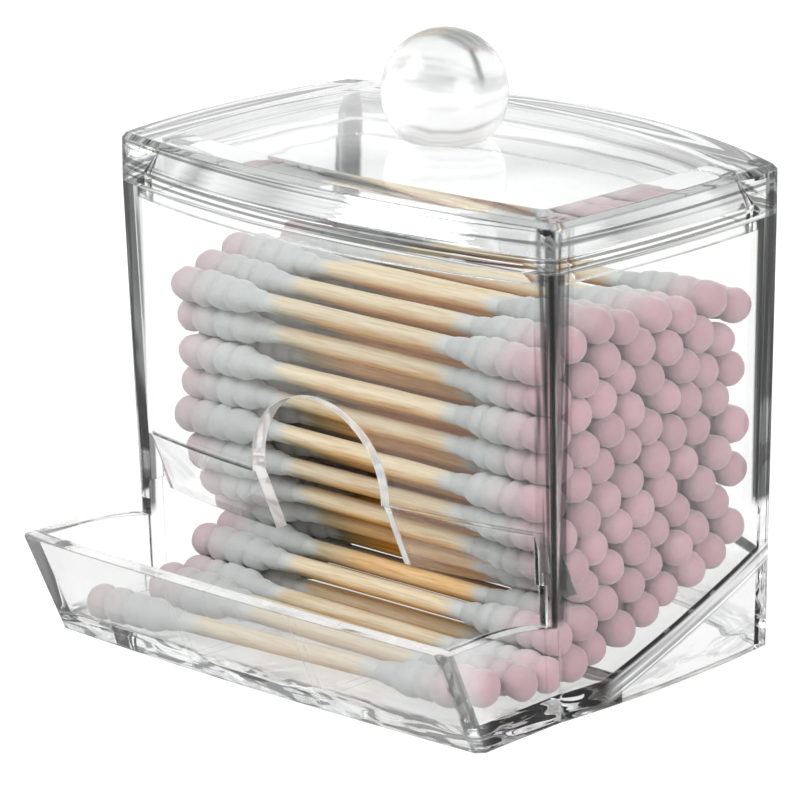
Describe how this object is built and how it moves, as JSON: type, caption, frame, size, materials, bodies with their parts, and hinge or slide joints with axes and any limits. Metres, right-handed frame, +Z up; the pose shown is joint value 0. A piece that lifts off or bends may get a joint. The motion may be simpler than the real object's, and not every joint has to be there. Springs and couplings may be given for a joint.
{
  "type": "cotton swab dispenser box",
  "caption": "Clear moulded box with bowed walls, ramp floor, flared front tray and arched finger cut-out, lift-off lid with ball knob, filled with wooden cotton swabs.",
  "frame": {"origin": "on the table under the middle of the whole object", "axes": "+Z up, -Y towards the tray, +X to the right as seen from the tray"},
  "size_m": [0.0896, 0.0816, 0.0924],
  "materials": {
    "clear_plastic": "clear polished moulding",
    "knob_plastic": "clear polished ball",
    "stick_wood": "plain pale wood",
    "tip_cotton": "wound cotton, dusty pink at the end and pale grey towards the stick"
  },
  "bodies": {
    "box": {"box": "clear_plastic", "swab_sticks": "stick_wood", "swab_tips": "tip_cotton"},
    "lid": {"lid": "clear_plastic", "knob": "knob_plastic"}
  },
  "joints": [
    {"name": "lid_lift", "type": "slide", "parent": "box", "child": "lid", "axis": [0, 0, 1], "range_m": [0, 0.05]}
  ]
}
